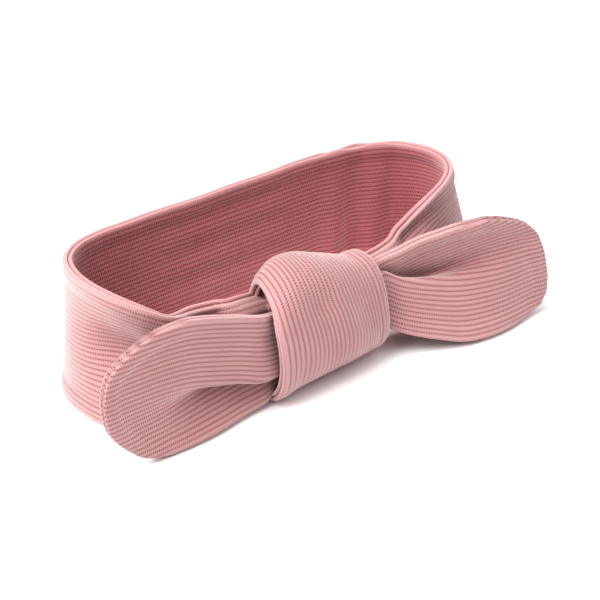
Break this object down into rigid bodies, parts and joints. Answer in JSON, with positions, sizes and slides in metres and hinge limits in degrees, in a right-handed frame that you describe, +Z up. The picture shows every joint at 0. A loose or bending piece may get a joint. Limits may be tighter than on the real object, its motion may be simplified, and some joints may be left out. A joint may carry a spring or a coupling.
{
  "type": "knotted headband",
  "caption": "Soft rib-knit headband: a wide double-layer fabric loop tied in one flat knot, with two rounded leaf-shaped ends spread left and right like a bow.",
  "frame": {"origin": "on the resting surface, under the centre of the bounding box", "axes": "+Z up, away from the lower sewn edge; +X along the two tails towards the right tail; +Y from the knot towards the back of the loop"},
  "size_m": [0.235, 0.0925, 0.0616],
  "materials": {
    "rib_knit": "fine rib knit, matt, dusky pink",
    "sewing_thread": "spun polyester thread, darker pink"
  },
  "bodies": {
    "headband": {"band_outer_ply": "rib_knit", "band_inner_ply": "rib_knit", "band_left_gather": "rib_knit", "band_right_gather": "rib_knit", "knot_wrap_outer_ply": "rib_knit", "knot_wrap_inner_ply": "rib_knit", "left_tail_gather": "rib_knit", "right_tail_gather": "rib_knit", "band_top_seam_thread": "sewing_thread", "band_bottom_seam_thread": "sewing_thread", "turning_gap_stitches": "sewing_thread", "knot_wrap_left_seam_thread": "sewing_thread", "knot_wrap_right_seam_thread": "sewing_thread"},
    "left_tail": {"left_tail_front_ply": "rib_knit", "left_tail_back_ply": "rib_knit", "left_tail_seam_thread": "sewing_thread"},
    "right_tail": {"right_tail_front_ply": "rib_knit", "right_tail_back_ply": "rib_knit", "right_tail_seam_thread": "sewing_thread"}
  },
  "joints": [
    {"name": "left_tail_swing", "type": "hinge", "parent": "headband", "child": "left_tail", "pos_m": [-0.0316, -0.0332, 0.03], "axis": [0, 0, 1], "range_deg": [0, 40]},
    {"name": "right_tail_swing", "type": "hinge", "parent": "headband", "child": "right_tail", "pos_m": [0.0316, -0.031, 0.03], "axis": [0, 0, 1], "range_deg": [-40, 10]}
  ]
}
